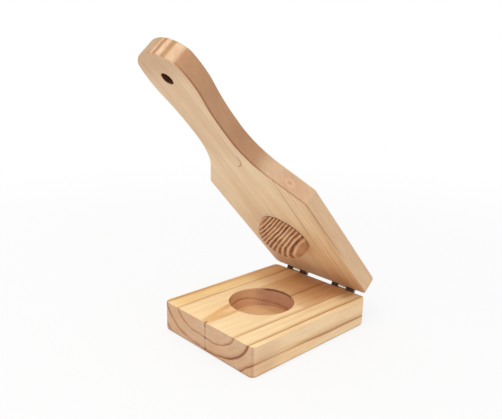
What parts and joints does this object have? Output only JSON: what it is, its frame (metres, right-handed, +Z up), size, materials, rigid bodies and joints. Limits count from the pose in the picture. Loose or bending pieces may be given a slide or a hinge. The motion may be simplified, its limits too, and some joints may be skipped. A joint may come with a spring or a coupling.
{
  "type": "plantain press",
  "caption": "Hinged wooden press: a lever board with a round boss closes over a block with a round recess to flatten a slice of plantain.",
  "frame": {"origin": "centre of the base block's underside", "axes": "+X across the boards, +Y towards the hinges, +Z up; the lever stands open by 47.5 degrees"},
  "size_m": [0.1, 0.1786, 0.2191],
  "materials": {
    "base_wood": "sanded, unvarnished pine",
    "lever_wood": "sanded, unvarnished pine",
    "boss_wood": "turned softwood, rings standing proud",
    "hinge_steel": "plain rolled steel",
    "pin_steel": "drawn steel wire",
    "screw_steel": "plated steel"
  },
  "bodies": {
    "base": {"base_block": "base_wood", "base_leaf_left": "hinge_steel", "base_leaf_right": "hinge_steel", "hinge_pin_left": "pin_steel", "hinge_pin_right": "pin_steel", "base_screw_left_1": "screw_steel", "base_screw_left_2": "screw_steel", "base_screw_right_1": "screw_steel", "base_screw_right_2": "screw_steel"},
    "lever": {"lever_board": "lever_wood", "press_boss": "boss_wood", "lever_leaf_left": "hinge_steel", "lever_leaf_right": "hinge_steel", "lever_screw_left_1": "screw_steel", "lever_screw_left_2": "screw_steel", "lever_screw_right_1": "screw_steel", "lever_screw_right_2": "screw_steel"}
  },
  "joints": [
    {"name": "lever_hinge", "type": "hinge", "parent": "base", "child": "lever", "pos_m": [0, 0.0646, 0.0243], "axis": [-1, 0, 0], "range_deg": [-47.5, 132.5]}
  ]
}
